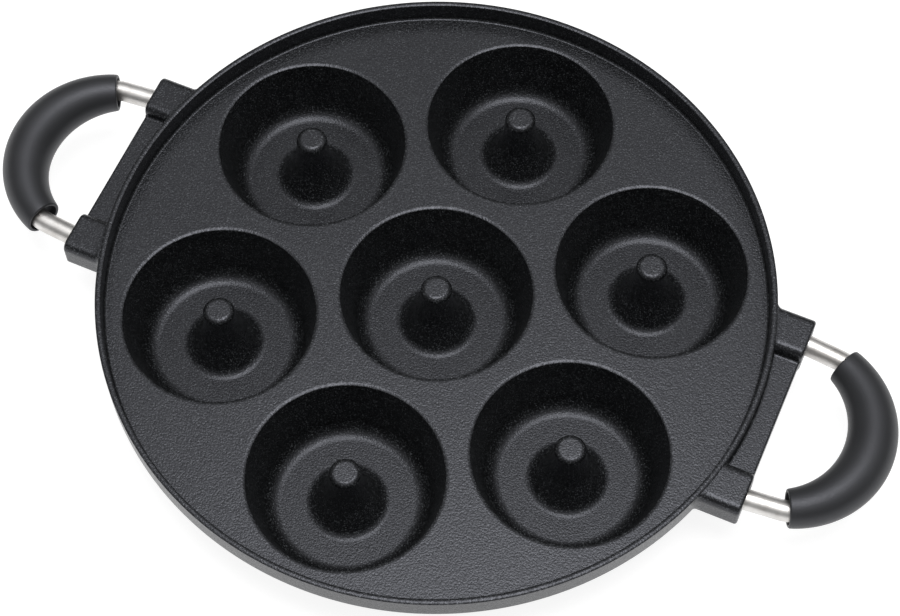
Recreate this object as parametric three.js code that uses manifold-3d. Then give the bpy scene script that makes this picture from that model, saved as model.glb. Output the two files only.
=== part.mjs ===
// Round cast pan with seven ring-shaped cups, a rim, two pairs of lugs and two looped handles.
// The cup bottoms stand on z = 0, the pan's centre is the origin and the handles lie along X.
import * as THREE from 'three';
import { mergeVertices } from 'three/addons/utils/BufferGeometryUtils.js';
import Module from 'manifold-3d';

const wasm = await Module();
wasm.setup();

// Driving dimensions, in millimetres.
const CUP_PITCH = 83.6;
const CUPS_ROUND_CENTRE = 6;
const FIRST_CUP_ANGLE = Math.PI / 6;

const FLOOR_THICKNESS = 3.4;
const CUP_DEPTH = 25.1;
const PLATE_TOP = CUP_DEPTH + FLOOR_THICKNESS;
const PLATE_THICKNESS = 3.4;

const MOUTH_RADIUS = 37.1;
const MOUTH_ROLL = 3.3;
const CUP_DRAFT = THREE.MathUtils.degToRad(15);
const CUP_FILLET = 6.7;
const CUP_WALL = 3.4;

const POST_HEAD_RADIUS = 6.1;
const POST_HEAD_ROUND = 2.3;
const POST_RISE = 3.6;
// Pairs of a radius and how far down the cup it lies, as a share of the depth.
const POST_FLARE = [[8.5, 0.62], [6.9, 0.35], [6.2, 0.1]];
const POST_FOOT_RADIUS = 11.9;
const POST_FOOT_STEEPNESS = 25;
const POST_FILLET = 5.0;
const HOLLOW_MOUTH_RADIUS = 11.7;
const HOLLOW_FLARE = [[11.0, 1.0], [4.6, 0.5], [2.0, 0.18]];
const HOLLOW_TIP = 0.16;

const RIM_RADIUS = 129.9;
const RIM_HEIGHT = 8.8;
const RIM_ROLL = 2.2;
const RIM_FOOT_ROUND = 3.0;
const RECESS_FLOOR_RADIUS = 127.5;
const RECESS_MOUTH_RADIUS = 127.6;
const RECESS_FILLET = 1.1;

// An edge of the casting runs off its flat top in a shallow roll, then turns down in a tight round.
const ROLL_TILT = THREE.MathUtils.degToRad(25);
const EDGE_ROUND = 0.35;

const LUG_FACE_X = 138.5;
const LUG_ROOT_X = 116;
const LUG_CENTRE_Y = 34.3;
const LUG_WIDTH = 17.6;
const LUG_TOP = 8.1;
const LUG_BOTTOM = -4.1;
const LUG_TOP_ROUND = 3.6;
const LUG_END_ROUND = 1.1;
const WEB_TOP = 2.9;
const WEB_OVERLAP = 1.5;
const WEB_SETBACK = 0.4;

// A rod's legs are straight and lean towards each other, and its bend and crown lie in the grip.
const ROD_RADIUS = 4.0;
const ROD_HEIGHT = 1.4;
const ROD_END_CHAMFER = 0.6;
const ROD_DEPTH = 11.0;
const LEG_LEAN = THREE.MathUtils.degToRad(5.2);
const BEND_START_X = 151;
const BEND_RADIUS = 20;
const CROWN_X = 174;
const FIT_GAP = 0.3;
const OVERSHOOT = 1.0;

const GRIP_ARC_RADIUS = 34.8;
const GRIP_ARC_CENTRE_X = 139.2;
const GRIP_HALF_ANGLE = THREE.MathUtils.degToRad(65.5);
const GRIP_MIDDLE_RADIUS = 9.5;
const GRIP_END_RADIUS = 7.3;
const GRIP_END_ROUND = 0.7;
const GRIP_MOUTH_RADIUS = 6.0;
const GRIP_MOUTH_DEPTH = 3.5;

const PIN_RADIUS = 1.5;
const PIN_END_CHAMFER = 0.3;
const PIN_DEPTH = 6.0;
const PIN_LENGTH = 9.4;
const PIN_RECESS = 0.4;

// How finely round things are cut into flats.
const RIM_FLATS = 60;
const CUP_FLATS = 24;
const POST_FLATS = 16;
const HOLLOW_FLATS = 12;
const ROD_FLATS = 12;
const BOW_STEPS = 28;
const GRIP_FLATS = 16;
const GRIP_STEPS = 14;
const BORE_STEPS = 16;
const PIN_FLATS = 10;

// Materials.
const coating = new THREE.MeshStandardMaterial({ color: 0x4a4b4e, roughness: 0.5, metalness: 0.35 });
const stainless = new THREE.MeshStandardMaterial({ color: 0xd4d2cf, roughness: 0.16, metalness: 1.0 });
const blackGrip = new THREE.MeshStandardMaterial({ color: 0x1b1b1d, roughness: 0.42, metalness: 0.0 });
const pinSteel = new THREE.MeshStandardMaterial({ color: 0x9a9a9a, roughness: 0.35, metalness: 1.0 });

// A list of points round an arc; angles in degrees, anticlockwise from the profile's +X.
function arc(centreX, centreY, radius, from, to, steps) {
  const points = [];
  for (let i = 0; i <= steps; i += 1) {
    const angle = THREE.MathUtils.degToRad(from + ((to - from) * i) / steps);
    const x = centreX + radius * Math.cos(angle);
    const y = centreY + radius * Math.sin(angle);
    points.push(new THREE.Vector2(x, y));
  }
  return points;
}

function point(x, y) {
  return new THREE.Vector2(x, y);
}

// Keeps positions only, merges shared vertices, drops flat triangles and turns the faces outward.
function tidyMesh(geometry) {
  const bare = new THREE.BufferGeometry();
  bare.setAttribute('position', geometry.getAttribute('position').clone());
  if (geometry.index) bare.setIndex(geometry.index.clone());
  const merged = mergeVertices(bare, 1e-4);
  const position = merged.getAttribute('position');
  const corners = [];
  for (let i = 0; i < merged.index.count; i += 3) {
    const [a, b, c] = [0, 1, 2].map((k) => merged.index.getX(i + k));
    if (a !== b && b !== c && c !== a) corners.push([a, b, c]);
  }
  const inward = signedVolume(position, corners) < 0;
  const ordered = corners.map(([a, b, c]) => (inward ? [a, c, b] : [a, b, c]));
  merged.setIndex(ordered.flat());
  return merged;
}

function signedVolume(position, corners) {
  const [a, b, c] = [new THREE.Vector3(), new THREE.Vector3(), new THREE.Vector3()];
  let sum = 0;
  for (const [i, j, k] of corners) {
    a.fromBufferAttribute(position, i);
    b.fromBufferAttribute(position, j);
    c.fromBufferAttribute(position, k);
    sum += a.dot(b.cross(c)) / 6;
  }
  return sum;
}

function toSolid(geometry) {
  const mesh = tidyMesh(geometry);
  const vertProperties = new Float32Array(mesh.getAttribute('position').array);
  const triVerts = new Uint32Array(mesh.index.array);
  return new wasm.Manifold(new wasm.Mesh({ numProp: 3, vertProperties, triVerts }));
}

function toGeometry(solid) {
  const mesh = solid.getMesh();
  const geometry = new THREE.BufferGeometry();
  geometry.setAttribute('position', new THREE.BufferAttribute(new Float32Array(mesh.vertProperties), 3));
  geometry.setIndex(new THREE.BufferAttribute(new Uint32Array(mesh.triVerts), 1));
  return geometry;
}

// Turns a profile of (radius, height) points round the Z axis.
function turned(profile, flats) {
  return new THREE.LatheGeometry(profile, flats).rotateX(Math.PI / 2);
}

function placed(geometry, x, y, z) {
  return geometry.clone().translate(x, y, z);
}

function cupCentres() {
  const centres = [point(0, 0)];
  for (let i = 0; i < CUPS_ROUND_CENTRE; i += 1) {
    const angle = FIRST_CUP_ANGLE + (2 * Math.PI * i) / CUPS_ROUND_CENTRE;
    centres.push(point(CUP_PITCH * Math.cos(angle), CUP_PITCH * Math.sin(angle)));
  }
  return centres;
}

// Points up an upright wall, over its edge and onto the flat top. The wall's line meets the top's
// level at corner, and facing is 1 for an outer wall and -1 for an inner one.
function rolledEdge(corner, top, roll, facing, lean = 0) {
  const gap = roll - EDGE_ROUND;
  const drop = roll - gap * Math.cos(ROLL_TILT) - EDGE_ROUND * Math.sin(lean);
  const reach = gap * Math.sin(ROLL_TILT) + EDGE_ROUND * Math.cos(lean);
  const wallX = corner + facing * drop * Math.tan(lean);
  const flatX = wallX - facing * reach;
  const turn = 90 - facing * THREE.MathUtils.radToDeg(ROLL_TILT);
  return [point(wallX, top - drop), ...arc(flatX, top - roll, roll, turn, 90, 1)];
}

// The disc that the recess and the cups are cut from, with its height from the plate's top.
function discBlank() {
  const foot = RIM_RADIUS - RIM_FOOT_ROUND;
  return turned([
    point(0, -PLATE_THICKNESS),
    ...arc(foot, RIM_FOOT_ROUND - PLATE_THICKNESS, RIM_FOOT_ROUND, -90, 0, 3),
    ...rolledEdge(RIM_RADIUS, RIM_HEIGHT, RIM_ROLL, 1),
    point(0, RIM_HEIGHT),
  ], RIM_FLATS);
}

function recessCut() {
  const edge = rolledEdge(RECESS_MOUTH_RADIUS, RIM_HEIGHT, RIM_ROLL, -1);
  return turned([
    point(0, 0),
    ...arc(RECESS_FLOOR_RADIUS - RECESS_FILLET, RECESS_FILLET, RECESS_FILLET, -90, 0, 2),
    ...edge,
    point(edge.at(-1).x, RIM_HEIGHT + OVERSHOOT),
    point(0, RIM_HEIGHT + OVERSHOOT),
  ], RIM_FLATS);
}

// The cup wall leans outward by the draft and meets the floor in a fillet.
function cupWallFoot() {
  const steepness = THREE.MathUtils.radToDeg(CUP_DRAFT);
  const fillX = Math.cos(CUP_DRAFT) * CUP_FILLET;
  const fillY = CUP_FILLET * (1 - Math.sin(CUP_DRAFT));
  const straight = CUP_DEPTH - fillY;
  const centreX = MOUTH_RADIUS - straight * Math.tan(CUP_DRAFT) - fillX;
  return { centreX, steepness };
}

function cupCut() {
  const { centreX, steepness } = cupWallFoot();
  const edge = rolledEdge(MOUTH_RADIUS, 0, MOUTH_ROLL, -1, CUP_DRAFT);
  return turned([
    point(0, -CUP_DEPTH),
    ...arc(centreX, CUP_FILLET - CUP_DEPTH, CUP_FILLET, -90, -steepness, 3),
    ...edge,
    point(edge.at(-1).x, OVERSHOOT),
    point(0, OVERSHOOT),
  ], CUP_FLATS);
}

function cupShell() {
  const { centreX, steepness } = cupWallFoot();
  const fillet = CUP_FILLET + CUP_WALL;
  const rootHeight = -PLATE_THICKNESS / 2;
  const rootX = MOUTH_RADIUS + CUP_WALL / Math.cos(CUP_DRAFT) + rootHeight * Math.tan(CUP_DRAFT);
  return turned([
    point(0, -PLATE_TOP),
    ...arc(centreX, fillet - PLATE_TOP, fillet, -90, -steepness, 2),
    point(rootX, rootHeight),
    point(0, rootHeight),
  ], CUP_FLATS);
}

// The post flares from its flat head to a wide filleted foot on the cup floor.
function post() {
  const steep = POST_FOOT_STEEPNESS;
  const footX = POST_FOOT_RADIUS + POST_FILLET * Math.cos(THREE.MathUtils.degToRad(steep));
  return turned([
    point(0, -CUP_DEPTH - OVERSHOOT),
    point(footX, -CUP_DEPTH - OVERSHOOT),
    ...arc(footX, POST_FILLET - CUP_DEPTH, POST_FILLET, -90, -180 + steep, 2),
    ...POST_FLARE.map(([radius, share]) => point(radius, -share * CUP_DEPTH)),
    ...arc(POST_HEAD_RADIUS - POST_HEAD_ROUND, POST_RISE - POST_HEAD_ROUND, POST_HEAD_ROUND, 0, 90, 2),
    point(0, POST_RISE),
  ], POST_FLATS);
}

// The hollow that keeps the post's wall even, open at the cup's underside.
function postHollow() {
  return turned([
    point(0, -PLATE_TOP - OVERSHOOT),
    point(HOLLOW_MOUTH_RADIUS, -PLATE_TOP - OVERSHOOT),
    ...HOLLOW_FLARE.map(([radius, share]) => point(radius, -share * CUP_DEPTH)),
    point(0, -HOLLOW_TIP * CUP_DEPTH),
  ], HOLLOW_FLATS);
}

// A lug's outline across its width, rounded on top and extruded along X.
function lug(centreY) {
  const half = LUG_WIDTH / 2 - LUG_END_ROUND;
  const low = LUG_BOTTOM + LUG_END_ROUND;
  const high = LUG_TOP - LUG_END_ROUND;
  const top = LUG_TOP_ROUND - LUG_END_ROUND;
  const outline = new THREE.Shape([
    point(-half, low),
    point(half, low),
    ...arc(half - top, high - top, top, 0, 90, 3),
    ...arc(top - half, high - top, top, 90, 180, 3),
  ]);
  const length = LUG_FACE_X - LUG_ROOT_X - 2 * LUG_END_ROUND;
  const block = new THREE.ExtrudeGeometry(outline, {
    depth: length,
    bevelThickness: LUG_END_ROUND,
    bevelSize: LUG_END_ROUND,
    bevelSegments: 2,
  });
  alongX(block);
  return placed(block, LUG_ROOT_X + LUG_END_ROUND, centreY, 0);
}

// Turns an outline in XY that was extruded along Z so that it runs along X with Y across.
function alongX(geometry) {
  return geometry.rotateX(Math.PI / 2).rotateZ(Math.PI / 2);
}

function web() {
  const width = 2 * LUG_CENTRE_Y - LUG_WIDTH + 2 * WEB_OVERLAP;
  const height = WEB_TOP - LUG_BOTTOM;
  const length = LUG_FACE_X - WEB_SETBACK - LUG_ROOT_X;
  const block = new THREE.BoxGeometry(length, width, height);
  return placed(block, LUG_ROOT_X + length / 2, 0, LUG_BOTTOM + height / 2);
}

function bar(radius, length, flats) {
  return new THREE.CylinderGeometry(radius, radius, length, flats);
}

// Puts a body that lies along X, with the lug's face at x = 0, on a leg of the rod.
// side is 1 for the leg at +Y and -1 for the one at -Y.
function onLeg(geometry, side, z) {
  return placed(geometry.clone().rotateZ(-side * LEG_LEAN), LUG_FACE_X, side * LUG_CENTRE_Y, z);
}

// The blind bore in a lug for a rod end, and the bore from below for its pin.
function rodBore(side) {
  const length = ROD_DEPTH + FIT_GAP + 2 * OVERSHOOT;
  const bore = bar(ROD_RADIUS + FIT_GAP, length, ROD_FLATS).rotateZ(Math.PI / 2);
  return onLeg(bore.translate(2 * OVERSHOOT - length / 2, 0, 0), side, ROD_HEIGHT);
}

function pinBore(side) {
  const length = PIN_LENGTH + PIN_RECESS + FIT_GAP + OVERSHOOT;
  const bore = bar(PIN_RADIUS + FIT_GAP, length, PIN_FLATS).rotateX(Math.PI / 2);
  return onLeg(bore.translate(-PIN_DEPTH, 0, 0), side, LUG_BOTTOM - OVERSHOOT + length / 2);
}

function panSolid() {
  let pan = toSolid(discBlank());
  const side = (geometry, turn) => toSolid(geometry.clone().rotateZ(turn));
  const turns = [0, Math.PI];
  for (const turn of turns) {
    for (const y of [LUG_CENTRE_Y, -LUG_CENTRE_Y]) pan = pan.add(side(lug(y), turn));
    pan = pan.add(side(web(), turn));
  }
  for (const c of cupCentres()) pan = pan.add(toSolid(placed(cupShell(), c.x, c.y, 0)));
  pan = pan.subtract(toSolid(recessCut()));
  for (const c of cupCentres()) {
    pan = pan.subtract(toSolid(placed(cupCut(), c.x, c.y, 0)));
    pan = pan.add(toSolid(placed(post(), c.x, c.y, 0)));
    pan = pan.subtract(toSolid(placed(postHollow(), c.x, c.y, 0)));
  }
  for (const turn of turns) {
    for (const leg of [1, -1]) {
      pan = pan.subtract(side(rodBore(leg), turn)).subtract(side(pinBore(leg), turn));
    }
  }
  return pan;
}

// The arcs of the rod's centre line at +Y, worked out so that leg, bend and crown run smoothly on.
function bowArcs() {
  const legAngle = Math.PI / 2 - LEG_LEAN;
  const startY = LUG_CENTRE_Y - (BEND_START_X - LUG_FACE_X) * Math.tan(LEG_LEAN);
  const bendX = BEND_START_X - BEND_RADIUS * Math.cos(legAngle);
  const bendY = startY - BEND_RADIUS * Math.sin(legAngle);
  const crownAngle = 2 * Math.atan((CROWN_X - bendX - BEND_RADIUS) / bendY);
  const crownRadius = BEND_RADIUS + bendY / Math.sin(crownAngle);
  const crownLength = crownRadius * crownAngle;
  const bendLength = BEND_RADIUS * (legAngle - crownAngle);
  const legLength = (BEND_START_X - LUG_FACE_X) / Math.cos(LEG_LEAN) + ROD_DEPTH;
  return { legAngle, bendX, bendY, crownAngle, crownRadius, crownLength, bendLength, legLength };
}

const ARCS = bowArcs();
const BOW_HALF_LENGTH = ARCS.crownLength + ARCS.bendLength + ARCS.legLength;

// s runs along a centre line from its middle; the answer is a place and a direction in XY.
function bowAt(s) {
  const along = Math.abs(s);
  const side = s < 0 ? -1 : 1;
  const bent = along - ARCS.crownLength;
  const beyond = Math.max(bent - ARCS.bendLength, 0);
  if (bent < 0) return onArc(CROWN_X - ARCS.crownRadius, 0, ARCS.crownRadius, s / ARCS.crownRadius);
  const angle = ARCS.crownAngle + Math.min(bent, ARCS.bendLength) / BEND_RADIUS;
  const at = onArc(ARCS.bendX, ARCS.bendY, BEND_RADIUS, angle);
  const x = at.x - beyond * Math.sin(angle);
  const y = at.y + beyond * Math.cos(angle);
  return { x, y: side * y, outX: at.outX, outY: side * at.outY };
}

function gripArcAt(s) {
  return onArc(GRIP_ARC_CENTRE_X, 0, GRIP_ARC_RADIUS, s / GRIP_ARC_RADIUS);
}

function onArc(centreX, centreY, radius, angle) {
  const [outX, outY] = [Math.cos(angle), Math.sin(angle)];
  return { x: centreX + radius * outX, y: centreY + radius * outY, outX, outY };
}

// Bends a body that was turned round the Z axis, with z as the way along, onto a centre line.
function bent(geometry, centreLine) {
  const position = geometry.getAttribute('position');
  for (let i = 0; i < position.count; i += 1) {
    const at = centreLine(position.getZ(i));
    const outward = position.getX(i);
    const upward = position.getY(i);
    position.setXYZ(i, at.x + outward * at.outX, at.y + outward * at.outY, upward);
  }
  return placed(geometry, 0, 0, ROD_HEIGHT);
}

// Even steps along s at a steady radius.
function run(radius, from, to, steps) {
  const points = [];
  for (let i = 0; i <= steps; i += 1) points.push(point(radius, from + ((to - from) * i) / steps));
  return points;
}

function rodGeometry() {
  const half = BOW_HALF_LENGTH;
  const flat = half - ROD_END_CHAMFER;
  const profile = [
    point(0, -half),
    point(ROD_RADIUS - ROD_END_CHAMFER, -half),
    ...run(ROD_RADIUS, -flat, flat, BOW_STEPS),
    point(ROD_RADIUS - ROD_END_CHAMFER, half),
    point(0, half),
  ];
  return bent(turned(profile, ROD_FLATS), bowAt);
}

// The rod with a cross bore for the pin near each end.
function bowSolid() {
  let rod = toSolid(rodGeometry());
  for (const leg of [1, -1]) rod = rod.subtract(toSolid(pinBore(leg)));
  return rod;
}

function gripRadius(s) {
  const share = Math.cos((Math.PI / 2) * (s / (GRIP_HALF_ANGLE * GRIP_ARC_RADIUS)));
  return GRIP_END_RADIUS + (GRIP_MIDDLE_RADIUS - GRIP_END_RADIUS) * share;
}

// The sleeve's outside swells to its middle.
function gripOutside() {
  const half = GRIP_HALF_ANGLE * GRIP_ARC_RADIUS;
  const end = half - GRIP_END_ROUND;
  const lip = GRIP_END_RADIUS - GRIP_END_ROUND;
  const swell = run(0, -end, end, GRIP_STEPS).map((p) => point(gripRadius(p.y), p.y));
  const profile = [point(0, -half), point(lip, -half), ...swell, point(lip, half), point(0, half)];
  return bent(turned(profile, GRIP_FLATS), gripArcAt);
}

// A round cutter from one place to another along a centre line.
function boreAlong(centreLine, radius, from, to, steps) {
  const profile = [point(0, from), ...run(radius, from, to, steps), point(0, to)];
  return bent(turned(profile, ROD_FLATS), centreLine);
}

// The sleeve has a snug bore that follows the rod, and a wider mouth at each end.
function gripSolid() {
  const half = GRIP_HALF_ANGLE * GRIP_ARC_RADIUS;
  const bore = half + GRIP_MOUTH_DEPTH;
  let sleeve = toSolid(gripOutside());
  sleeve = sleeve.subtract(toSolid(boreAlong(bowAt, ROD_RADIUS + FIT_GAP, -bore, bore, BORE_STEPS)));
  for (const side of [1, -1]) {
    const [from, to] = [half - GRIP_MOUTH_DEPTH, half + OVERSHOOT].map((s) => side * s);
    sleeve = sleeve.subtract(toSolid(boreAlong(gripArcAt, GRIP_MOUTH_RADIUS, from, to, 1)));
  }
  return sleeve;
}

function pinGeometry() {
  const half = PIN_LENGTH / 2;
  return turned([
    point(0, -half),
    point(PIN_RADIUS - PIN_END_CHAMFER, -half),
    point(PIN_RADIUS, PIN_END_CHAMFER - half),
    point(PIN_RADIUS, half - PIN_END_CHAMFER),
    point(PIN_RADIUS - PIN_END_CHAMFER, half),
    point(0, half),
  ], PIN_FLATS);
}

function named(name, geometry, material) {
  const mesh = new THREE.Mesh(tidyMesh(geometry), material);
  mesh.geometry.computeVertexNormals();
  mesh.name = name;
  return mesh;
}

// One handle, built on the +X side.
function handle(sideName) {
  const group = new THREE.Group();
  group.add(named(`${sideName}_handle_bow`, toGeometry(bowSolid()), stainless));
  group.add(named(`${sideName}_grip_sleeve`, toGeometry(gripSolid()), blackGrip));
  const ends = [['rear', 1], ['front', -1]];
  for (const [end, side] of ends) {
    const pin = named(`${sideName}_${end}_pin`, pinGeometry(), pinSteel);
    const x = LUG_FACE_X - PIN_DEPTH * Math.cos(LEG_LEAN);
    const y = side * (LUG_CENTRE_Y + PIN_DEPTH * Math.sin(LEG_LEAN));
    pin.position.set(x, y, LUG_BOTTOM + PIN_RECESS + PIN_LENGTH / 2);
    group.add(pin);
  }
  return group;
}

const donutMaker = new THREE.Group();
donutMaker.position.z = PLATE_TOP;
donutMaker.add(named('pan_casting', toGeometry(panSolid()), coating));
donutMaker.add(handle('right'));
const leftHandle = handle('left');
leftHandle.rotation.z = Math.PI;
donutMaker.add(leftHandle);

export default donutMaker;
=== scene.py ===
# Donut maker: a coated cast pan with seven ring-shaped cups, two steel handle bows and black grips.
# Shapes are worked out in millimetres, with heights from the plate's top, and placed in metres.
import math

import bmesh
import bpy
import numpy as np
from mathutils import Matrix, Vector


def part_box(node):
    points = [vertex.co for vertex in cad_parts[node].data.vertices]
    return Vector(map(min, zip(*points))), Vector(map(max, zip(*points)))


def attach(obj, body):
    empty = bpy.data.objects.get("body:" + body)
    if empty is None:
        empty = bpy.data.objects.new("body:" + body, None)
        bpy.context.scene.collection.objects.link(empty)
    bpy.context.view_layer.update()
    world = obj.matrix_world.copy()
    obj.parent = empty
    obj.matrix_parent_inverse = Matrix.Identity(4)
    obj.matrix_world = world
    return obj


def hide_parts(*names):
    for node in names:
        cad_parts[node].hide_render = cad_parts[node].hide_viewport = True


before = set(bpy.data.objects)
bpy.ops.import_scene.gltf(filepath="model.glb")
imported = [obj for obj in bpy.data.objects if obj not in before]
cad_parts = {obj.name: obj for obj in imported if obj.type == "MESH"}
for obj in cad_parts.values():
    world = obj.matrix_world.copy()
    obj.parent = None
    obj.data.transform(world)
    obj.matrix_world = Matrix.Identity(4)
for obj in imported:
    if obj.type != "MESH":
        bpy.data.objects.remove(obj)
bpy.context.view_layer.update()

MM = 0.001

# The pan, in millimetres.
CUP_PITCH = 83.6
CUPS_ROUND_CENTRE = 6
FIRST_CUP_ANGLE = math.pi / 6
FLOOR_THICKNESS = 3.4
CUP_DEPTH = 25.1
CUP_BOTTOM = -CUP_DEPTH - FLOOR_THICKNESS
PLATE_THICKNESS = 3.4
MOUTH_RADIUS = 37.1
MOUTH_ROLL = 3.3
CUP_DRAFT = math.radians(15)
CUP_FILLET = 6.7
CUP_WALL = 3.4
SHELL_ROOT_FILLET = 1.5

POST_HEAD_RADIUS = 6.1
POST_HEAD_ROUND = 2.3
POST_RISE = 3.6
# Pairs of a radius and how far down the cup it lies, as a share of the depth.
POST_FLARE = [(8.5, 0.62), (6.9, 0.35), (6.2, 0.1)]
POST_FOOT_RADIUS = 11.9
POST_FOOT_STEEPNESS = 25
POST_FILLET = 5.0
HOLLOW_MOUTH_RADIUS = 11.7
HOLLOW_MOUTH_EDGE = 0.8
HOLLOW_FLARE = [(9.2, 0.8), (4.6, 0.5), (2.0, 0.24)]
HOLLOW_TIP = 0.16

RIM_RADIUS = 129.9
RIM_HEIGHT = 8.8
RIM_ROLL = 2.2
RIM_FOOT_ROUND = 3.0
RECESS_FLOOR_RADIUS = 127.5
RECESS_MOUTH_RADIUS = 127.6
RECESS_FILLET = 1.1

# An edge of the casting runs off its flat top in a shallow roll, then turns down in a tight round.
ROLL_TILT = math.radians(25)
EDGE_ROUND = 0.35

LUG_FACE_X = 138.5
LUG_ROOT_X = 116
LUG_CENTRE_Y = 34.3
LUG_WIDTH = 17.6
LUG_TOP = 8.1
LUG_BOTTOM = -4.1
LUG_TOP_ROUND = 3.6
LUG_END_ROUND = 1.1
WEB_TOP = 2.9
WEB_SETBACK = 0.4
WEB_ROUND = 0.6
LUG_RIM_FILLET = 2.0
WEB_RIM_FILLET = 1.0
LUG_WEB_FILLET = 0.9
LUG_RIM_ROUND = 0.5
# How far the lugs' block reaches into the rim and the plate, and past the lugs to each side.
BLOCK_INSET = 0.02
BLOCK_IN_RIM = 1.0
BLOCK_IN_PLATE = PLATE_THICKNESS / 3
BLOCK_INNER_X = LUG_ROOT_X - 2.0
BLOCK_SIDE_Y = LUG_CENTRE_Y + LUG_WIDTH / 2 + 2.5 * LUG_RIM_FILLET

# The handles. A rod's legs are straight and lean towards each other; bend and crown lie in the grip.
ROD_RADIUS = 4.0
ROD_HEIGHT = 1.4
ROD_END_ROUND = 0.6
ROD_DEPTH = 11.0
LEG_LEAN = math.radians(5.2)
LEG_ANGLE = math.pi / 2 - LEG_LEAN
LEG_START_X = 151
BEND_RADIUS = 20
CROWN_X = 174
FIT_GAP = 0.3
OVERSHOOT = 1.0
BORE_CHAMFER = 0.5

# The centres, radii and lengths that make leg, bend and crown run smoothly on.
LEG_START_Y = LUG_CENTRE_Y - (LEG_START_X - LUG_FACE_X) * math.tan(LEG_LEAN)
BEND_X = LEG_START_X - BEND_RADIUS * math.cos(LEG_ANGLE)
BEND_Y = LEG_START_Y - BEND_RADIUS * math.sin(LEG_ANGLE)
CROWN_ANGLE = 2 * math.atan((CROWN_X - BEND_X - BEND_RADIUS) / BEND_Y)
CROWN_RADIUS = BEND_RADIUS + BEND_Y / math.sin(CROWN_ANGLE)
CROWN_LENGTH = CROWN_RADIUS * CROWN_ANGLE
BEND_LENGTH = BEND_RADIUS * (LEG_ANGLE - CROWN_ANGLE)
LEG_LENGTH = (LEG_START_X - LUG_FACE_X) / math.cos(LEG_LEAN) + ROD_DEPTH
BOW_HALF_LENGTH = CROWN_LENGTH + BEND_LENGTH + LEG_LENGTH

GRIP_ARC_RADIUS = 34.8
GRIP_ARC_CENTRE_X = 139.2
GRIP_HALF_LENGTH = math.radians(65.5) * GRIP_ARC_RADIUS
GRIP_MIDDLE_RADIUS = 9.5
GRIP_END_RADIUS = 7.3
GRIP_END_ROUND = 0.7
GRIP_MOUTH_RADIUS = 6.0
GRIP_MOUTH_DEPTH = 3.5
GRIP_MOUTH_ROUND = 0.4

PIN_RADIUS = 1.5
PIN_END_ROUND = 0.3
PIN_DEPTH = 6.0
PIN_LENGTH = 9.4
PIN_RECESS = 0.4

# How finely shapes are divided, and the angle past which an edge is shaded as sharp.
RIM_FLATS = 480
CUP_FLATS = 160
POST_FLATS = 80
HOLLOW_FLATS = 96
ROD_FLATS = 48
BOW_STEPS = 140
GRIP_FLATS = 96
GRIP_STEPS = 90
BORE_STEPS = 60
PIN_FLATS = 32
BLOCK_STEP = 0.5
CENTRE_LINE_SAMPLES = 300
SHARP_ANGLE = math.radians(38)
# Edges shorter than this are what a boolean cut leaves where two outlines nearly meet.
SLIVER = 0.001

PLATE_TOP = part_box("pan_casting")[1].z / MM - RIM_HEIGHT


# ---------------------------------------------------------------- outlines

def arc(centre_x, centre_y, radius, start, end, steps):
    """Points round an arc, with its angles in degrees."""
    angles = np.radians(np.linspace(start, end, steps + 1))
    across = centre_x + radius * np.cos(angles)
    up = centre_y + radius * np.sin(angles)
    return list(zip(across, up))


def smooth_curve(points, start_direction, end_direction, steps):
    """A curve through the points, each stretch a cubic with shared directions at its ends."""
    points = np.asarray(points, float)
    lengths = np.linalg.norm(np.diff(points, axis=0), axis=1)
    slopes = np.zeros_like(points)
    slopes[0] = start_direction
    slopes[-1] = end_direction
    slopes[1:-1] = (points[2:] - points[:-2]) / (lengths[1:] + lengths[:-1])[:, None]
    curve = []
    for i, length in enumerate(lengths):
        for t in np.linspace(0, 1, steps, endpoint=False):
            along = t * t * (3 - 2 * t)
            leave = t * (1 - t) ** 2 * length
            arrive = t * t * (t - 1) * length
            place = points[i] * (1 - along) + points[i + 1] * along
            curve.append(tuple(place + slopes[i] * leave + slopes[i + 1] * arrive))
    curve.append(tuple(points[-1]))
    return curve


def turned(profile, flats):
    """Points and faces of a profile of (radius, height) turned round the Z axis.
    The profile starts and ends on the axis."""
    profile = np.asarray(profile, float)
    rings = profile[1:-1]
    angles = np.linspace(0, 2 * math.pi, flats, endpoint=False)
    across = np.outer(rings[:, 0], np.cos(angles))
    along = np.outer(rings[:, 0], np.sin(angles))
    height = np.repeat(rings[:, 1:], flats, axis=1)
    points = np.stack([across, along, height], axis=-1).reshape(-1, 3)
    bottom = len(points)
    last = bottom - flats
    points = np.vstack([points, [(0, 0, profile[0, 1]), (0, 0, profile[-1, 1])]])
    faces = []
    for j in range(flats):
        k = (j + 1) % flats
        faces.append((bottom, k, j))
        faces.append((bottom + 1, last + j, last + k))
        for low in range(0, last, flats):
            high = low + flats
            faces.append((low + j, low + k, high + k, high + j))
    return points, faces


def moved(shape, x=0.0, y=0.0, z=0.0):
    points, faces = shape
    return points + np.array([x, y, z]), faces


def about_z(shape, angle):
    points, faces = shape
    cosine, sine = math.cos(angle), math.sin(angle)
    turn = np.array([[cosine, sine, 0], [-sine, cosine, 0], [0, 0, 1]])
    return points @ turn, faces


def along_x(shape):
    """Turns a shape so that its Z axis runs along X."""
    points, faces = shape
    return points[:, [2, 0, 1]], faces


def together(shapes):
    """Several shapes that don't touch, as one."""
    points, faces, count = [], [], 0
    for shape_points, shape_faces in shapes:
        points.append(shape_points)
        faces += [tuple(count + i for i in face) for face in shape_faces]
        count += len(shape_points)
    return np.vstack(points), faces


# ---------------------------------------------------------------- meshes

def mesh_object(name, shape):
    points, faces = shape
    mesh = bpy.data.meshes.new(name)
    mesh.from_pydata(points.tolist(), [], faces)
    made = bpy.data.objects.new(name, mesh)
    bpy.context.scene.collection.objects.link(made)
    return made


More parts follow.
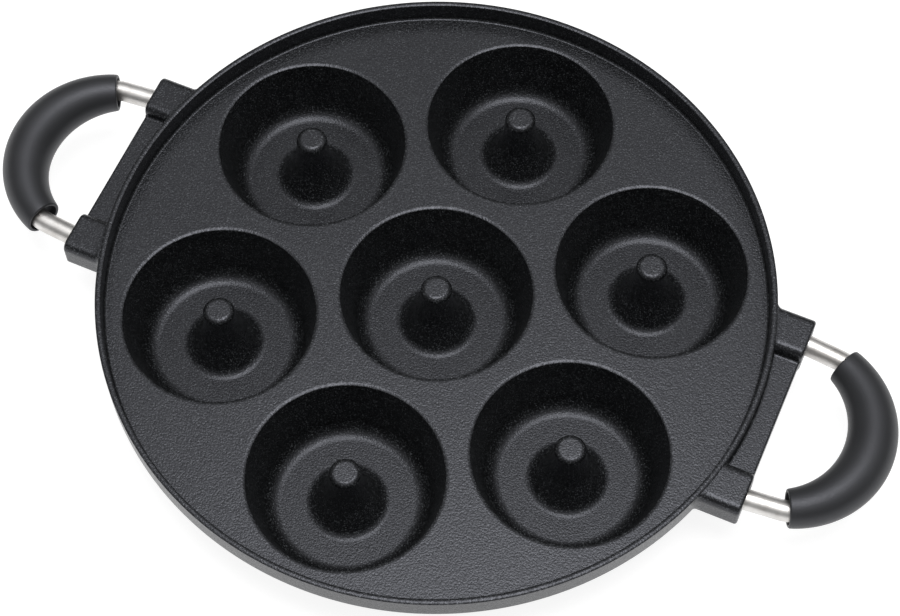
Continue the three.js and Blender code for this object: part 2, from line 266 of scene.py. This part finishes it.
def applied(made):
    """Replaces an object's mesh by the one that its modifiers make."""
    graph = bpy.context.evaluated_depsgraph_get()
    mesh = bpy.data.meshes.new_from_object(made.evaluated_get(graph))
    old = made.data
    made.modifiers.clear()
    made.data = mesh
    bpy.data.meshes.remove(old)


def combine(made, operation, shapes):
    """Joins shapes to an object, or cuts them from it."""
    tool = mesh_object("tool", together(shapes))
    modifier = made.modifiers.new("combine", "BOOLEAN")
    modifier.operation = operation
    modifier.solver = "MANIFOLD"
    modifier.object = tool
    applied(made)
    bpy.data.objects.remove(tool)


def without_slivers(mesh):
    """Collapses the edges of no length and the faces of no area that boolean cuts leave."""
    edit = bmesh.new()
    edit.from_mesh(mesh)
    bmesh.ops.triangulate(edit, faces=edit.faces[:])
    bmesh.ops.dissolve_degenerate(edit, dist=SLIVER, edges=edit.edges[:])
    edit.to_mesh(mesh)
    edit.free()


def finish_surface(made, name):
    """Puts a millimetre shape at its place in metres, with normals weighted by area."""
    made.name = name
    mesh = made.data
    without_slivers(mesh)
    mesh.name = name
    mesh.materials.clear()
    mesh.transform(Matrix.Scale(MM, 4) @ Matrix.Translation((0, 0, PLATE_TOP)))
    mesh.shade_smooth()
    mesh.set_sharp_from_angle(angle=SHARP_ANGLE)
    weighted = made.modifiers.new("weighted", "WEIGHTED_NORMAL")
    weighted.mode = "FACE_AREA"
    weighted.weight = 50
    weighted.keep_sharp = True
    applied(made)
    made.data.name = name


def join_in(made, node, material):
    """Ties a finished surface to the CAD node that it stands for."""
    made.data.materials.append(material)
    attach(made, "root")
    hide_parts(node)


# ---------------------------------------------------------------- lugs and web

def rounded_union(first, second, radius):
    """Distance to two joined bodies with a fillet of that radius where they meet."""
    a = np.maximum(radius - first, 0)
    b = np.maximum(radius - second, 0)
    return np.maximum(radius, np.minimum(first, second)) - np.hypot(a, b)


def rounded_cut(first, second, radius):
    """Distance to what two bodies share, with that radius on the edge between them."""
    a = np.maximum(radius + first, 0)
    b = np.maximum(radius + second, 0)
    return np.minimum(-radius, np.maximum(first, second)) + np.hypot(a, b)


def extruded(flat, beyond):
    """Distance to a body from its distance in section and its distance past the ends."""
    outside = np.hypot(np.maximum(flat, 0), np.maximum(beyond, 0))
    return outside + np.minimum(np.maximum(flat, beyond), 0)


def lug_distance(x, y, z):
    """The two lugs: a section in YZ with a round top, and every edge rounded."""
    low, high = LUG_BOTTOM + LUG_END_ROUND, LUG_TOP - LUG_END_ROUND
    middle = (low + high) / 2
    corner = np.where(z > middle, LUG_TOP_ROUND - LUG_END_ROUND, 0.0)
    across = np.abs(np.abs(y) - LUG_CENTRE_Y) - (LUG_WIDTH / 2 - LUG_END_ROUND) + corner
    up = np.abs(z - middle) - (high - low) / 2 + corner
    section = extruded(across, up) - corner
    return extruded(section, past_ends(x, LUG_FACE_X, LUG_END_ROUND)) - LUG_END_ROUND


def past_ends(x, face, edge_round):
    middle = (LUG_ROOT_X + face) / 2
    return np.abs(x - middle) - (face - LUG_ROOT_X) / 2 + edge_round


def web_distance(x, y, z):
    """The flat web between the lugs."""
    middle = (LUG_BOTTOM + WEB_TOP) / 2
    across = np.abs(y) - LUG_CENTRE_Y
    up = np.abs(z - middle) - (WEB_TOP - LUG_BOTTOM) / 2 + WEB_ROUND
    section = extruded(across, up)
    ends = past_ends(x, LUG_FACE_X - WEB_SETBACK, WEB_ROUND)
    return extruded(section, ends) - WEB_ROUND


def wall_distance(radius, z):
    """The disc under and outside the rim, a little smaller so that it stays in the casting."""
    across = radius - (RIM_RADIUS - BLOCK_INSET - RIM_FOOT_ROUND)
    below = RIM_FOOT_ROUND - PLATE_THICKNESS + BLOCK_INSET - z
    return extruded(across, below) - RIM_FOOT_ROUND


def lug_block_distance(points):
    """The lugs and the web with the fillets that blend them into the rim's outer wall."""
    x, y, z = points[..., 0], points[..., 1], points[..., 2]
    radius = np.hypot(x, y)
    share = np.clip((np.abs(y) - LUG_CENTRE_Y) / (LUG_WIDTH / 4), 0, 1)
    fillet = WEB_RIM_FILLET + (LUG_RIM_FILLET - WEB_RIM_FILLET) * share
    body = rounded_union(lug_distance(x, y, z), web_distance(x, y, z), LUG_WEB_FILLET)
    body = rounded_union(body, wall_distance(radius, z), fillet)
    body = rounded_cut(body, z - LUG_TOP, LUG_RIM_ROUND)
    body = np.maximum(body, LUG_BOTTOM - z)
    inward = RIM_RADIUS - BLOCK_IN_RIM - radius
    body = np.maximum(body, np.minimum(inward, z + BLOCK_IN_PLATE))
    body = np.maximum(body, np.abs(y) - BLOCK_SIDE_Y)
    return np.maximum(body, BLOCK_INNER_X - x)


def grid_net(distance, low, high, step):
    """Faces round the zero level of a distance, then each point moved onto that level."""
    axes = [np.arange(a, b + step, step) for a, b in zip(low, high)]
    grid = np.stack(np.meshgrid(*axes, indexing="ij"), axis=-1)
    field = distance(grid)
    inside = field < 0
    cells = tuple(n - 1 for n in field.shape)
    total = np.zeros(cells + (3,))
    crossings = np.zeros(cells)
    corners = [(i, j, k) for i in (0, 1) for j in (0, 1) for k in (0, 1)]

    def corner_of(array, corner):
        window = tuple(slice(c, c + n) for c, n in zip(corner, cells))
        return array[window]

    for corner in corners:
        for axis in range(3):
            if corner[axis]:
                continue
            other = tuple(1 if i == axis else c for i, c in enumerate(corner))
            a, b = corner_of(field, corner), corner_of(field, other)
            crossed = corner_of(inside, corner) != corner_of(inside, other)
            share = np.where(crossed, a / np.where(crossed, a - b, 1), 0)
            place = corner_of(grid, corner).copy()
            place[..., axis] += share * step
            total += place * crossed[..., None]
            crossings += crossed
    active = crossings > 0
    numbers = np.full(cells, -1)
    numbers[active] = np.arange(active.sum())
    points = total[active] / crossings[active][:, None]
    faces = []
    for axis in range(3):
        first, second = [i for i in range(3) if i != axis]
        span = tuple(slice(0 if i == axis else 1, cells[i]) for i in range(3))
        later = tuple(slice(1, cells[i] + 1) if i == axis else slice(1, cells[i]) for i in range(3))
        change = inside[span].astype(int) - inside[later].astype(int)
        for sign in (1, -1):
            spots = np.argwhere(change == sign) + [0 if i == axis else 1 for i in range(3)]
            around = []
            for back_first, back_second in ((0, 0), (1, 0), (1, 1), (0, 1)):
                spot = spots.copy()
                spot[:, first] -= back_first
                spot[:, second] -= back_second
                around.append(numbers[tuple(spot.T)])
            ordered = np.stack(around, axis=1)
            if (sign > 0) == (axis == 1):
                ordered = ordered[:, ::-1]
            faces += ordered.tolist()
    reach = 0.02 * step
    for _ in range(6):
        slope = np.zeros_like(points)
        for axis in range(3):
            shift = np.zeros(3)
            shift[axis] = reach
            ahead, behind = distance(points + shift), distance(points - shift)
            slope[:, axis] = (ahead - behind) / (2 * reach)
        size = np.maximum((slope ** 2).sum(axis=1), 0.25)
        points = points - slope * (distance(points) / size)[:, None]
    return points, faces


def lug_block():
    half_width = 51.0
    low = (LUG_ROOT_X - 4.0, -half_width, LUG_BOTTOM - 1.3)
    high = (LUG_FACE_X + 1.2, half_width, LUG_TOP + 1.2)
    return grid_net(lug_block_distance, low, high, BLOCK_STEP)


# ---------------------------------------------------------------- the casting

def cup_centres():
    centres = [(0.0, 0.0)]
    for i in range(CUPS_ROUND_CENTRE):
        angle = FIRST_CUP_ANGLE + 2 * math.pi * i / CUPS_ROUND_CENTRE
        centres.append((CUP_PITCH * math.cos(angle), CUP_PITCH * math.sin(angle)))
    return centres


def rolled_edge(corner, top, roll, facing, lean=0.0):
    """Points up an upright wall, over its edge and onto the flat top.
    The wall meets the top's level at corner; facing is 1 for an outer wall and -1 for an inner one."""
    gap = roll - EDGE_ROUND
    drop = roll - gap * math.cos(ROLL_TILT) - EDGE_ROUND * math.sin(lean)
    reach = gap * math.sin(ROLL_TILT) + EDGE_ROUND * math.cos(lean)
    flat = corner + facing * (drop * math.tan(lean) - reach)
    tight_x = flat + facing * gap * math.sin(ROLL_TILT)
    tight_z = top - roll + gap * math.cos(ROLL_TILT)
    wall = 90 - facing * (90 - math.degrees(lean))
    turn = 90 - facing * math.degrees(ROLL_TILT)
    tight = arc(tight_x, tight_z, EDGE_ROUND, wall, turn, 6)
    return tight[:-1] + arc(flat, top - roll, roll, turn, 90, 8)


def disc_blank():
    foot = RIM_RADIUS - RIM_FOOT_ROUND
    profile = [(0, -PLATE_THICKNESS)]
    profile += arc(foot, RIM_FOOT_ROUND - PLATE_THICKNESS, RIM_FOOT_ROUND, -90, 0, 12)
    profile += rolled_edge(RIM_RADIUS, RIM_HEIGHT, RIM_ROLL, 1)
    profile += [(0, RIM_HEIGHT)]
    return turned(profile, RIM_FLATS)


def recess_cut():
    centre = RECESS_FLOOR_RADIUS - RECESS_FILLET
    edge = rolled_edge(RECESS_MOUTH_RADIUS, RIM_HEIGHT, RIM_ROLL, -1)
    over = RIM_HEIGHT + OVERSHOOT
    profile = [(0, 0)]
    profile += arc(centre, RECESS_FILLET, RECESS_FILLET, -90, 0, 10)
    profile += edge + [(edge[-1][0], over), (0, over)]
    return turned(profile, RIM_FLATS)


def cup_foot_centre():
    """How far from the cup's axis its floor fillet is centred."""
    straight = CUP_DEPTH - CUP_FILLET * (1 - math.sin(CUP_DRAFT))
    return MOUTH_RADIUS - straight * math.tan(CUP_DRAFT) - CUP_FILLET * math.cos(CUP_DRAFT)


def cup_cut():
    draft = math.degrees(CUP_DRAFT)
    edge = rolled_edge(MOUTH_RADIUS, 0, MOUTH_ROLL, -1, CUP_DRAFT)
    profile = [(0, -CUP_DEPTH)]
    profile += arc(cup_foot_centre(), CUP_FILLET - CUP_DEPTH, CUP_FILLET, -90, -draft, 16)
    profile += edge + [(edge[-1][0], OVERSHOOT), (0, OVERSHOOT)]
    return turned(profile, CUP_FLATS)


def cup_shell():
    draft = math.degrees(CUP_DRAFT)
    fillet = CUP_FILLET + CUP_WALL
    root_z = -PLATE_THICKNESS - SHELL_ROOT_FILLET
    wall_x = MOUTH_RADIUS + CUP_WALL / math.cos(CUP_DRAFT) + root_z * math.tan(CUP_DRAFT)
    root_x = wall_x + SHELL_ROOT_FILLET / math.cos(CUP_DRAFT)
    inside_z = -PLATE_THICKNESS / 2
    profile = [(0, CUP_BOTTOM)]
    profile += arc(cup_foot_centre(), fillet + CUP_BOTTOM, fillet, -90, -draft, 16)
    profile += arc(root_x, root_z, SHELL_ROOT_FILLET, 180 - draft, 90, 8)
    profile += [(root_x, inside_z), (0, inside_z)]
    return turned(profile, CUP_FLATS)


def post():
    steep = math.radians(POST_FOOT_STEEPNESS)
    foot_x = POST_FOOT_RADIUS + POST_FILLET * math.cos(steep)
    foot_z = POST_FILLET - CUP_DEPTH
    middle = POST_HEAD_RADIUS - POST_HEAD_ROUND
    head = arc(middle, POST_RISE - POST_HEAD_ROUND, POST_HEAD_ROUND, 0, 90, 14)
    under = -CUP_DEPTH - OVERSHOOT
    foot = arc(foot_x, foot_z, POST_FILLET, -90, POST_FOOT_STEEPNESS - 180, 12)
    flare = [foot[-1]]
    flare += [(radius, -share * CUP_DEPTH) for radius, share in POST_FLARE]
    flare += [head[0]]
    side = smooth_curve(flare, (-math.sin(steep), math.cos(steep)), (0, 1), 8)
    profile = [(0, under), (foot_x, under)]
    profile += foot[:-1] + side[:-1]
    profile += head + [(0, POST_RISE)]
    return turned(profile, POST_FLATS)


def post_hollow():
    """The hollow that keeps the post's wall even, open at the cup's underside."""
    mouth = HOLLOW_MOUTH_RADIUS + HOLLOW_MOUTH_EDGE
    under = CUP_BOTTOM - OVERSHOOT
    edge = arc(mouth, CUP_BOTTOM + HOLLOW_MOUTH_EDGE, HOLLOW_MOUTH_EDGE, 270, 180, 6)
    flare = [edge[-1]]
    flare += [(radius, -share * CUP_DEPTH) for radius, share in HOLLOW_FLARE]
    flare += [(0, -HOLLOW_TIP * CUP_DEPTH)]
    profile = [(0, under), (mouth, under)]
    profile += edge[:-1] + smooth_curve(flare, (0, 1), (-1, 0), 8)
    return turned(profile, HOLLOW_FLATS)


def both_sides(shape):
    return [shape, about_z(shape, math.pi)]


def on_leg(shape, side):
    """Puts a shape made with the lug's face at x = 0 on the leg at +Y, or at -Y where side is -1."""
    return moved(about_z(shape, -side * LEG_LEAN), LUG_FACE_X, side * LUG_CENTRE_Y)


def rod_bore(side):
    """The blind bore in a lug for a rod end, with a chamfer at its mouth."""
    radius = ROD_RADIUS + FIT_GAP
    start = -ROD_DEPTH - FIT_GAP
    profile = [(0, start), (radius, start), (radius, -BORE_CHAMFER)]
    profile += [(radius + BORE_CHAMFER + OVERSHOOT, OVERSHOOT), (0, OVERSHOOT)]
    return on_leg(moved(along_x(turned(profile, ROD_FLATS)), z=ROD_HEIGHT), side)


def pin_bore(side):
    radius = PIN_RADIUS + FIT_GAP
    top = LUG_BOTTOM + PIN_RECESS + PIN_LENGTH + FIT_GAP
    mouth = LUG_BOTTOM + FIT_GAP
    under = LUG_BOTTOM - OVERSHOOT
    wide = radius + FIT_GAP + OVERSHOOT
    profile = [(0, under), (wide, under), (radius, mouth), (radius, top), (0, top)]
    return on_leg(moved(turned(profile, PIN_FLATS), x=-PIN_DEPTH), side)


def pan_casting(material):
    pan = mesh_object("pan", disc_blank())
    centres = cup_centres()

    def at_cups(shape):
        return [moved(shape, x, y) for x, y in centres]

    def at_lugs(bore):
        return both_sides(bore(1)) + both_sides(bore(-1))

    combine(pan, "UNION", both_sides(lug_block()))
    combine(pan, "UNION", at_cups(cup_shell()))
    combine(pan, "DIFFERENCE", [recess_cut()])
    combine(pan, "DIFFERENCE", at_cups(cup_cut()))
    combine(pan, "UNION", at_cups(post()))
    combine(pan, "DIFFERENCE", at_cups(post_hollow()))
    combine(pan, "DIFFERENCE", at_lugs(rod_bore))
    combine(pan, "DIFFERENCE", at_lugs(pin_bore))
    finish_surface(pan, "pan_casting_surface")
    join_in(pan, "pan_casting", material)


# ---------------------------------------------------------------- the handles

def bow_at(s):
    """Places on the rod's centre line, s millimetres along it from its middle, and outward directions."""
    along, side = np.abs(s), np.where(s < 0, -1.0, 1.0)
    in_bend = np.clip(along - CROWN_LENGTH, 0, BEND_LENGTH)
    beyond = np.maximum(along - CROWN_LENGTH - BEND_LENGTH, 0)
    angle = np.minimum(along, CROWN_LENGTH) / CROWN_RADIUS + in_bend / BEND_RADIUS
    crown = along < CROWN_LENGTH
    centre_x = np.where(crown, CROWN_X - CROWN_RADIUS, BEND_X)
    centre_y = np.where(crown, 0, BEND_Y)
    radius = np.where(crown, CROWN_RADIUS, BEND_RADIUS)
    out_x, out_y = np.cos(angle), np.sin(angle)
    x = centre_x + radius * out_x - beyond * out_y
    y = centre_y + radius * out_y + beyond * out_x
    return x, side * y, out_x, side * out_y


def grip_arc_at(s):
    """The same for the grip's centre line, which is one arc."""
    out_x, out_y = np.cos(s / GRIP_ARC_RADIUS), np.sin(s / GRIP_ARC_RADIUS)
    return GRIP_ARC_CENTRE_X + GRIP_ARC_RADIUS * out_x, GRIP_ARC_RADIUS * out_y, out_x, out_y


def bent(shape, centre_line):
    """Bends a straight shape, with Z as the way along, onto a centre line."""
    points, faces = shape
    outward, upward = points[:, 0], -points[:, 1]
    x, y, out_x, out_y = centre_line(points[:, 2])
    bent_points = [x + outward * out_x, y + outward * out_y, ROD_HEIGHT + upward]
    return np.stack(bent_points, axis=1), faces


def mark_straightened(made, facing, centre_line, half):
    """Stores where each point lies on the straightened piece, in metres, for grain and streaks."""
    mesh = made.data
    points = np.zeros(len(mesh.vertices) * 3)
    mesh.vertices.foreach_get("co", points)
    points = points.reshape(-1, 3) / MM
    samples = np.linspace(-half, half, CENTRE_LINE_SAMPLES)
    x, y, out_x, out_y = centre_line(samples)
    from_x = facing * points[:, :1] - x
    from_y = facing * points[:, 1:2] - y
    nearest = np.argmin(from_x ** 2 + from_y ** 2, axis=1)
    row = np.arange(len(points))
    dx, dy = from_x[row, nearest], from_y[row, nearest]
    out_x, out_y = out_x[nearest], out_y[nearest]
    outward = dx * out_x + dy * out_y
    along = samples[nearest] + dy * out_x - dx * out_y
    straight = np.stack([outward, points[:, 2], along], axis=1) * MM
    attribute = mesh.attributes.new("straightened", "FLOAT_VECTOR", "POINT")
    attribute.data.foreach_set("vector", straight.astype(np.float32).ravel())


def handle_bow(side, turn, material):
    half = BOW_HALF_LENGTH
    flat = half - ROD_END_ROUND
    end = ROD_RADIUS - ROD_END_ROUND
    profile = [(0, -half)]
    profile += arc(end, -flat, ROD_END_ROUND, -90, 0, 5)
    profile += [(ROD_RADIUS, s) for s in np.linspace(-flat, flat, BOW_STEPS)[1:-1]]
    profile += arc(end, flat, ROD_END_ROUND, 0, 90, 5)
    profile += [(0, half)]
    rod = mesh_object("rod", about_z(bent(turned(profile, ROD_FLATS), bow_at), turn))
    combine(rod, "DIFFERENCE", [about_z(pin_bore(leg), turn) for leg in (1, -1)])
    finish_surface(rod, f"{side}_handle_bow_surface")
    mark_straightened(rod, math.cos(turn), bow_at, half)
    join_in(rod, f"{side}_handle_bow", material)


def grip_radius(s):
    share = math.cos(math.pi / 2 * s / GRIP_HALF_LENGTH)
    return GRIP_END_RADIUS + (GRIP_MIDDLE_RADIUS - GRIP_END_RADIUS) * share


def grip_outside():
    half = GRIP_HALF_LENGTH
    end = half - GRIP_END_ROUND
    lip = GRIP_END_RADIUS - GRIP_END_ROUND
    profile = [(0, -half)]
    profile += arc(lip, -end, GRIP_END_ROUND, -90, 0, 8)
    profile += [(grip_radius(s), s) for s in np.linspace(-end, end, GRIP_STEPS)[1:-1]]
    profile += arc(lip, end, GRIP_END_ROUND, 0, 90, 8)
    profile += [(0, half)]
    return bent(turned(profile, GRIP_FLATS), grip_arc_at)


def grip_bore():
    """The snug bore, which follows the rod and runs past both ends."""
    reach = GRIP_HALF_LENGTH + GRIP_MOUTH_DEPTH
    profile = [(0, -reach)]
    profile += [(ROD_RADIUS + FIT_GAP, s) for s in np.linspace(-reach, reach, BORE_STEPS)]
    profile += [(0, reach)]
    return bent(turned(profile, ROD_FLATS), bow_at)


def grip_mouths():
    """The wider mouth at each end, with a rounded lip."""
    start = GRIP_HALF_LENGTH - GRIP_MOUTH_DEPTH
    lip_x = GRIP_MOUTH_RADIUS + GRIP_MOUTH_ROUND
    lip_z = GRIP_HALF_LENGTH - GRIP_MOUTH_ROUND
    profile = [(0, start), (GRIP_MOUTH_RADIUS, start)]
    profile += arc(lip_x, lip_z, GRIP_MOUTH_ROUND, 180, 90, 5)
    profile += [(lip_x, GRIP_HALF_LENGTH + OVERSHOOT), (0, GRIP_HALF_LENGTH + OVERSHOOT)]
    rear = bent(turned(profile, GRIP_FLATS), grip_arc_at)
    mirrored = [(radius, -s) for radius, s in reversed(profile)]
    front = bent(turned(mirrored, GRIP_FLATS), grip_arc_at)
    return [rear, front]


def grip_sleeve(side, turn, material):
    sleeve = mesh_object("sleeve", about_z(grip_outside(), turn))
    combine(sleeve, "DIFFERENCE", [about_z(grip_bore(), turn)])
    combine(sleeve, "DIFFERENCE", [about_z(mouth, turn) for mouth in grip_mouths()])
    finish_surface(sleeve, f"{side}_grip_sleeve_surface")
    mark_straightened(sleeve, math.cos(turn), grip_arc_at, GRIP_HALF_LENGTH)
    join_in(sleeve, f"{side}_grip_sleeve", material)


def handle_pin(side, end, turn, material):
    edge = PIN_RADIUS - PIN_END_ROUND
    low = LUG_BOTTOM + PIN_RECESS
    high = low + PIN_LENGTH
    profile = [(0, low)]
    profile += arc(edge, low + PIN_END_ROUND, PIN_END_ROUND, -90, 0, 5)
    profile += arc(edge, high - PIN_END_ROUND, PIN_END_ROUND, 0, 90, 5)
    profile += [(0, high)]
    leg = 1 if end == "rear" else -1
    pin = on_leg(moved(turned(profile, PIN_FLATS), x=-PIN_DEPTH), leg)
    pin = mesh_object("pin", about_z(pin, turn))
    finish_surface(pin, f"{side}_{end}_pin_surface")
    join_in(pin, f"{side}_{end}_pin", material)


def make_handle(side, turn, steel, plastic, pin):
    handle_bow(side, turn, steel)
    grip_sleeve(side, turn, plastic)
    for end in ("rear", "front"):
        handle_pin(side, end, turn, pin)


# ---------------------------------------------------------------- materials

class Paint:
    """A Principled material and short calls for the nodes that feed it."""

    def __init__(self, name, **settings):
        self.material = bpy.data.materials.new(name)
        self.material.use_nodes = True
        self.tree = self.material.node_tree
        self.shader = self.tree.nodes["Principled BSDF"]
        for socket, value in settings.items():
            self.shader.inputs[socket.replace("_", " ")].default_value = value

    def node(self, kind, inputs=None, **settings):
        made = self.tree.nodes.new(kind)
        for name, value in settings.items():
            setattr(made, name, value)
        for socket, value in (inputs or {}).items():
            if isinstance(value, bpy.types.NodeSocket):
                self.tree.links.new(value, made.inputs[socket])
            else:
                made.inputs[socket].default_value = value
        return made

    def link(self, source, socket):
        self.tree.links.new(source, self.shader.inputs[socket])

    def place(self):
        return self.node("ShaderNodeTexCoord").outputs["Object"]

    def straightened(self, stretch):
        found = self.node("ShaderNodeAttribute", attribute_name="straightened")
        mapped = self.node("ShaderNodeMapping", {"Vector": found.outputs["Vector"], "Scale": stretch})
        return mapped.outputs["Vector"]

    def noise(self, place, size, detail=2.0, roughness=0.5):
        inputs = {"Vector": place, "Scale": 1 / size, "Detail": detail, "Roughness": roughness}
        return self.node("ShaderNodeTexNoise", inputs).outputs["Fac"]

    def spread(self, value, low, high, out_low, out_high):
        """Maps low..high to out_low..out_high, and holds the ends."""
        inputs = {"Value": value, "From Min": low, "From Max": high}
        inputs.update({"To Min": out_low, "To Max": out_high})
        return self.node("ShaderNodeMapRange", inputs).outputs["Result"]

    def blend(self, share, first, second):
        """Mixes two colours; the node's sockets for colours are its inputs 6 and 7 and its output 2."""
        inputs = {0: share, 6: first, 7: second}
        return self.node("ShaderNodeMix", inputs, data_type="RGBA").outputs[2]

    def bump(self, height, depth, strength=1.0, under=None):
        inputs = {"Height": height, "Distance": depth, "Strength": strength}
        if under is not None:
            inputs["Normal"] = under
        return self.node("ShaderNodeBump", inputs).outputs["Normal"]


def grey(level, warmth=0.0):
    return (level * (1 + warmth), level, level * (1 - warmth), 1.0)


def coating():
    """Dark non-stick coating with a fine pale speckle and a pebbled surface; its reflection is dimmed
    lower down as painted shade in the cups.
    """
    paint = Paint("coated_casting", Specular_Tint=(0.88, 0.90, 1.0, 1.0))
    place = paint.place()
    speckle = paint.spread(paint.noise(place, 0.00055, 2.0, 0.6), 0.56, 0.70, 0.0, 1.0)
    cloud = paint.spread(paint.noise(place, 0.03, 3.0), 0.35, 0.65, 0.0, 1.0)
    base = paint.blend(cloud, grey(0.0035, -0.05), grey(0.0055, -0.05))
    paint.link(paint.blend(speckle, base, grey(0.09, -0.06)), "Base Color")
    grain = paint.noise(place, 0.0007, 1.0, 0.5)
    paint.link(paint.spread(grain, 0.3, 0.7, 0.25, 0.35), "Roughness")
    paint.link(paint.bump(grain, 0.00012), "Normal")
    # Painted shade: the specular level falls towards the cup floors, so the low parts look shaded by the
    # cup walls.
    depth = paint.node("ShaderNodeSeparateXYZ", {"Vector": place}).outputs["Z"]
    painted_cup_shade = paint.spread(depth, 0.006, 0.026, 0.38, 0.52)
    paint.link(painted_cup_shade, "Specular IOR Level")
    return paint.material


def polished_steel():
    """Drawn and polished stainless rod, with faint streaks along its length."""
    paint = Paint("polished_rod", Metallic=1.0)
    streaks = paint.noise(paint.straightened((1.0, 1.0, 0.03)), 0.0009, 3.0, 0.6)
    blotches = paint.noise(paint.place(), 0.006, 3.0)
    base = paint.blend(paint.spread(blotches, 0.35, 0.65, 0.0, 1.0), grey(0.74, 0.02), grey(0.56, 0.04))
    paint.link(base, "Base Color")
    paint.link(paint.spread(streaks, 0.3, 0.7, 0.34, 0.48), "Roughness")
    paint.link(paint.bump(streaks, 0.00005), "Normal")
    return paint.material


def black_plastic():
    """Satin moulded plastic with a soft leathery grain."""
    paint = Paint("black_grip", Specular_Tint=(0.90, 0.91, 1.0, 1.0), Specular_IOR_Level=0.58)
    place = paint.straightened((1.0, 1.0, 1.0))
    cloud = paint.spread(paint.noise(place, 0.02, 2.0), 0.35, 0.65, 0.0, 1.0)
    paint.link(paint.blend(cloud, grey(0.016, -0.04), grey(0.021, -0.04)), "Base Color")
    grain = paint.noise(place, 0.0006, 2.0, 0.55)
    paint.link(paint.spread(grain, 0.3, 0.7, 0.40, 0.50), "Roughness")
    paint.link(paint.bump(grain, 0.00004), "Normal")
    return paint.material


def ground_steel():
    """Ground steel pin with fine rings round it."""
    paint = Paint("pin_steel", Metallic=1.0)
    place = paint.place()
    rings = paint.node("ShaderNodeMapping", {"Vector": place, "Scale": (0.05, 0.05, 1.0)})
    marks = paint.noise(rings.outputs["Vector"], 0.0002, 2.0)
    stains = paint.spread(paint.noise(place, 0.002, 2.0), 0.35, 0.65, 0.0, 1.0)
    paint.link(paint.blend(stains, grey(0.55), grey(0.42, 0.03)), "Base Color")
    paint.link(paint.spread(marks, 0.3, 0.7, 0.28, 0.42), "Roughness")
    paint.link(paint.bump(marks, 0.00002), "Normal")
    return paint.material


# ---------------------------------------------------------------- camera, floor and light

# Pairs of an angle from the light's direction, in degrees, and the sky's brightness there.
SKY = [(90, 0.85), (84, 0.20), (64, 0.15), (50, 0.33), (37, 0.82), (20, 0.85)]
LIGHT_DIRECTION = Vector((0.045, 0.035, 1.0)).normalized()
LIGHT_DISTANCE = 2.4
LIGHT_WIDTH = 1.4
LIGHT_POWER = 31.0

# The camera aims at a point on the plate. Its angles are the direction that it looks in, in degrees.
CAMERA_AIM = Vector((7.53, -4.28, PLATE_TOP)) * MM
CAMERA_DISTANCE = 842.6 * MM
CAMERA_AZIMUTH = math.radians(113.722)
CAMERA_DIP = math.radians(62.402)
CAMERA_ROLL = math.radians(0.231)
CAMERA_LENS = 88.02
CAMERA_SENSOR = 36

FLOOR_HALF_WIDTH = 3000.0
FLOOR_GAP = 0.1


def make_camera():
    """Looks down over the front right of the pan."""
    ahead = math.cos(CAMERA_DIP)
    forward_x, forward_y = math.cos(CAMERA_AZIMUTH) * ahead, math.sin(CAMERA_AZIMUTH) * ahead
    forward = Vector((forward_x, forward_y, -math.sin(CAMERA_DIP)))
    level = forward.cross(Vector((0, 0, 1))).normalized()
    below = forward.cross(level)
    right = level * math.cos(CAMERA_ROLL) + below * math.sin(CAMERA_ROLL)
    up = level * math.sin(CAMERA_ROLL) - below * math.cos(CAMERA_ROLL)
    camera = bpy.data.objects.new("camera", bpy.data.cameras.new("camera"))
    camera.data.sensor_width = CAMERA_SENSOR
    camera.data.lens = CAMERA_LENS
    camera.data.clip_start = 0.05
    camera.data.clip_end = 20
    turn = Matrix((right, up, -forward)).transposed().to_4x4()
    camera.matrix_world = Matrix.Translation(CAMERA_AIM - forward * CAMERA_DISTANCE) @ turn
    bpy.context.scene.collection.objects.link(camera)
    bpy.context.scene.camera = camera


def make_floor():
    paint = Paint("pale_floor", Roughness=0.6, Emission_Color=grey(1.0), Emission_Strength=0.85)
    cloud = paint.noise(paint.place(), 0.05, 3.0)
    paint.link(paint.blend(cloud, grey(0.32), grey(0.35)), "Base Color")
    half = FLOOR_HALF_WIDTH
    corners = [(-half, -half), (half, -half), (half, half), (-half, half)]
    points = np.array([(x, y, -FLOOR_GAP) for x, y in corners])
    floor = mesh_object("floor", (points * MM, [(0, 1, 2, 3)]))
    floor.data.materials.append(paint.material)


def make_softbox():
    lamp = bpy.data.lights.new("overhead_softbox", "AREA")
    lamp.shape = "DISK"
    lamp.size = LIGHT_WIDTH
    lamp.energy = LIGHT_POWER
    box = bpy.data.objects.new("overhead_softbox", lamp)
    box.location = LIGHT_DIRECTION * LIGHT_DISTANCE
    box.rotation_euler = (-LIGHT_DIRECTION).to_track_quat("-Z", "Y").to_euler()
    box.visible_camera = False
    bpy.context.scene.collection.objects.link(box)


def make_world():
    """A sky that is bright round the softbox, dim at the sides and pale at the horizon."""
    world = bpy.data.worlds.new("studio")
    bpy.context.scene.world = world
    world.use_nodes = True
    tree = world.node_tree
    place = tree.nodes.new("ShaderNodeTexCoord").outputs["Generated"]
    along = tree.nodes.new("ShaderNodeVectorMath")
    along.operation = "DOT_PRODUCT"
    along.inputs[1].default_value = LIGHT_DIRECTION
    tree.links.new(place, along.inputs[0])
    ramp = tree.nodes.new("ShaderNodeValToRGB")
    ramp.color_ramp.interpolation = "EASE"
    tree.links.new(along.outputs["Value"], ramp.inputs["Fac"])
    stops = ramp.color_ramp.elements
    while len(stops) < len(SKY):
        stops.new(0.5)
    for stop, (angle, level) in zip(stops, SKY):
        stop.position = max(math.cos(math.radians(angle)), 0)
        stop.color = grey(level)
    sky = tree.nodes["Background"]
    tree.links.new(ramp.outputs["Color"], sky.inputs["Color"])


make_camera()
make_floor()
make_world()
make_softbox()
bpy.context.scene.view_settings.view_transform = "Standard"

steel, plastic, pin = polished_steel(), black_plastic(), ground_steel()
pan_casting(coating())
make_handle("right", 0.0, steel, plastic, pin)
make_handle("left", math.pi, steel, plastic, pin)
